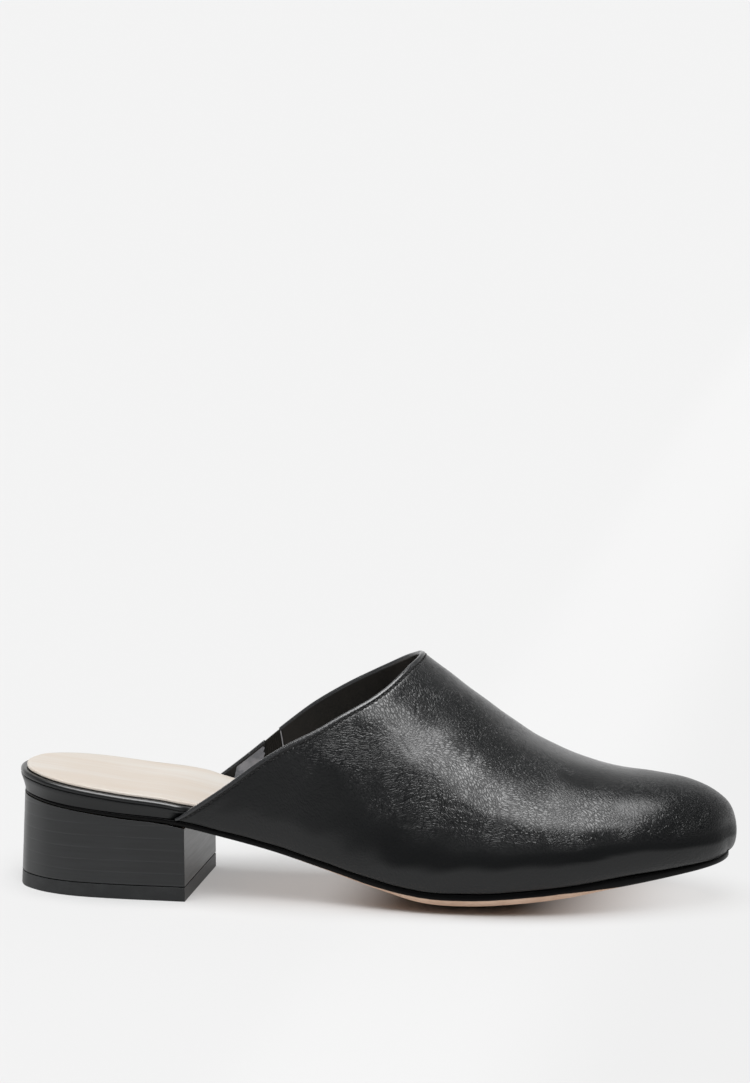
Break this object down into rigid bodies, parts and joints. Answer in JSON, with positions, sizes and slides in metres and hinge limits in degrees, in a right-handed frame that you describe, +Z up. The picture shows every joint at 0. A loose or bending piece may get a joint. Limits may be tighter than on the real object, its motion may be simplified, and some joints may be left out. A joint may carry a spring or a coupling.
{
  "type": "low heel mule",
  "caption": "Right-foot black leather mule on a low block heel, open at the back, with a beige sock and a short elastic gore on the inner side.",
  "frame": {"origin": "centre of the shoe's footprint box, on the floor it stands on", "axes": "+X from the heel to the toe, +Y towards the inner side of the foot, +Z up"},
  "size_m": [0.2538, 0.0842, 0.0845],
  "materials": {
    "black_leather": "semi-gloss, creased grain",
    "beige_leather": "matte, smooth",
    "heel_cover": "satin, faint stacked lines",
    "lift_rubber": "matte",
    "sole_resin": "satin, edge blackened",
    "gore_elastic": "ribbed knit"
  },
  "bodies": {
    "root": {"top_lift": "lift_rubber", "heel_block": "heel_cover", "outsole": "sole_resin", "insole_board": "black_leather", "sock": "beige_leather", "upper": "black_leather", "elastic_gore": "gore_elastic", "medial_tab": "black_leather"}
  },
  "joints": []
}
